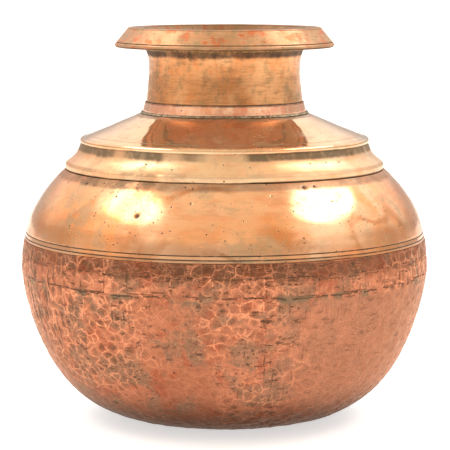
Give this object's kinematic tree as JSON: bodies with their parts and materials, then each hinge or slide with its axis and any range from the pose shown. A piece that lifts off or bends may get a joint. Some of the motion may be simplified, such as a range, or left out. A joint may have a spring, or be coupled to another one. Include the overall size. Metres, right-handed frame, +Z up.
{
  "type": "water pot",
  "caption": "Round-bellied metal water pot with a hammered copper bowl, polished shoulder with two beads, waisted neck and wide flat-topped rim.",
  "frame": {"origin": "centre of the flat foot, on the surface that the pot stands on", "axes": "+Z up along the pot's axis; the pot is round, so +X and +Y are any two directions square to it"},
  "size_m": [0.25, 0.25, 0.24],
  "materials": {
    "turned_bronze": "turned and polished golden copper alloy, with small casting pits and thin olive patina",
    "beaten_copper": "hammered red copper, facets bright on their ridges and brown in their hollows",
    "filler": "dull silvery brazing and solder metal"
  },
  "bodies": {
    "root": {"rim_lip": "turned_bronze", "neck": "turned_bronze", "neck_collar": "turned_bronze", "shoulder_cap": "turned_bronze", "upper_belly": "turned_bronze", "belly_band": "beaten_copper", "lower_bowl": "beaten_copper", "rim_braze": "filler", "collar_solder": "filler", "cap_braze": "filler", "band_braze": "filler", "seam_braze": "filler"}
  },
  "joints": []
}
